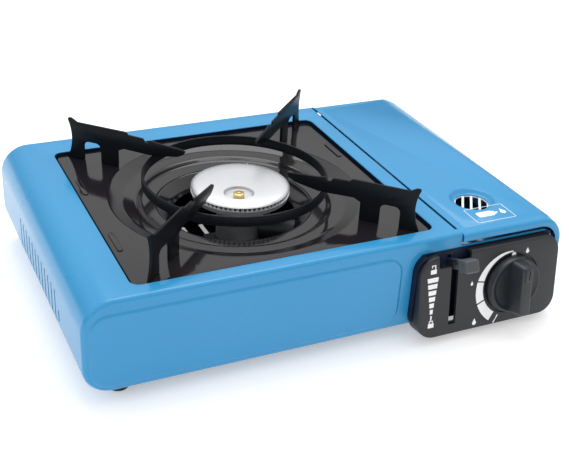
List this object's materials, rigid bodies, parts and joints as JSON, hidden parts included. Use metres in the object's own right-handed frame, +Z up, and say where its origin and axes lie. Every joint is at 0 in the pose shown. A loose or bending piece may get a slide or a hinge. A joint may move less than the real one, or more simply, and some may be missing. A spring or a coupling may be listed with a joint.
{
  "type": "camping stove",
  "caption": "Portable gas stove in a low blue case: burner in a black drip tray with a pan support, side bay with a hinged lid, control knob and cartridge lock lever.",
  "frame": {"origin": "centre of the bounding box in plan, on the ground under the feet", "axes": "+Z up, +X to the right along the front with the control panel at the right, the front faces -Y"},
  "size_m": [0.37, 0.2808, 0.1123],
  "materials": {
    "blue_paint": "glossy stove enamel on pressed steel sheet",
    "black_enamel": "glossy black vitreous enamel",
    "panel_plastic": "satin black moulded plastic",
    "knob_plastic": "satin black moulded plastic",
    "grip_plastic": "satin light grey moulded plastic",
    "igniter_plastic": "moulded plastic",
    "burner_aluminium": "satin pressed and cast aluminium",
    "cast_zinc": "die-cast zinc alloy",
    "plated_steel": "zinc plated steel",
    "brass": "turned brass",
    "black_rubber": "black rubber",
    "ceramic": "white glazed ceramic"
  },
  "bodies": {
    "body": {"body_shell": "blue_paint", "bottom_plate": "plated_steel", "partition_wall": "plated_steel", "cartridge_cradle": "plated_steel", "side_rail": "blue_paint", "control_panel": "panel_plastic", "panel_screws": "plated_steel", "rubber_feet": "black_rubber", "base_screws": "plated_steel", "burner_bracket": "plated_steel", "burner_base": "burner_aluminium", "burner_cap": "burner_aluminium", "burner_nut": "brass", "mixing_tube": "plated_steel", "gas_pipe": "brass", "gas_jet": "brass", "regulator_body": "cast_zinc", "regulator_cover": "cast_zinc", "regulator_bracket": "plated_steel", "regulator_screw": "plated_steel", "cartridge_collar": "plated_steel", "collar_seal": "black_rubber", "piezo_igniter": "igniter_plastic", "igniter_terminal": "igniter_plastic", "lead_grommet": "black_rubber", "ignition_lead": "black_rubber", "electrode_insulator": "ceramic", "electrode_pin": "plated_steel", "electrode_clip": "plated_steel", "lever_pivot_pin": "plated_steel", "carriage_guides": "plated_steel", "lid_rest": "plated_steel", "lid_hinge_pin": "plated_steel"},
    "tray": {"drip_tray": "black_enamel"},
    "pan_support": {"pan_ring": "black_enamel", "pan_arm_front_right": "black_enamel", "pan_arm_back_right": "black_enamel", "pan_arm_back_left": "black_enamel", "pan_arm_front_left": "black_enamel"},
    "lid": {"lid_panel": "blue_paint", "lid_vent_grille": "plated_steel"},
    "knob": {"knob": "knob_plastic", "valve_spindle": "plated_steel"},
    "lever": {"lock_lever": "plated_steel", "lever_grip": "grip_plastic"},
    "carriage": {"lock_carriage": "plated_steel"},
    "plunger": {"piezo_plunger": "igniter_plastic"}
  },
  "joints": [
    {"name": "tray_lift", "type": "slide", "parent": "body", "child": "tray", "axis": [0, 0, 1], "range_m": [0, 0.06]},
    {"name": "pan_support_lift", "type": "slide", "parent": "tray", "child": "pan_support", "axis": [0, 0, 1], "range_m": [0, 0.05]},
    {"name": "lid_hinge", "type": "hinge", "parent": "body", "child": "lid", "pos_m": [0.1819, 0.0164, 0.028], "axis": [0, 1, 0], "range_deg": [0, 100]},
    {"name": "knob_turn", "type": "hinge", "parent": "body", "child": "knob", "pos_m": [0.136, -0.11912, 0.03718], "axis": [0, -0.9925, 0.1219], "range_deg": [0, 160]},
    {"name": "lever_swing", "type": "hinge", "parent": "body", "child": "lever", "pos_m": [0.085, -0.07957, 0.046], "axis": [1, 0, 0], "range_deg": [0, 50]},
    {"name": "carriage_slide", "type": "slide", "parent": "body", "child": "carriage", "axis": [0, -1, 0], "range_m": [0, 0.0085]},
    {"name": "plunger_press", "type": "slide", "parent": "body", "child": "plunger", "axis": [0, 0, -1], "range_m": [0, 0.0024], "stiffness_N_per_m": 400, "springref_m": -0.0005}
  ],
  "couplings": [
    {"joint": "carriage_slide", "follows": "lever_swing", "m_per_rad": 0.0096857}
  ]
}
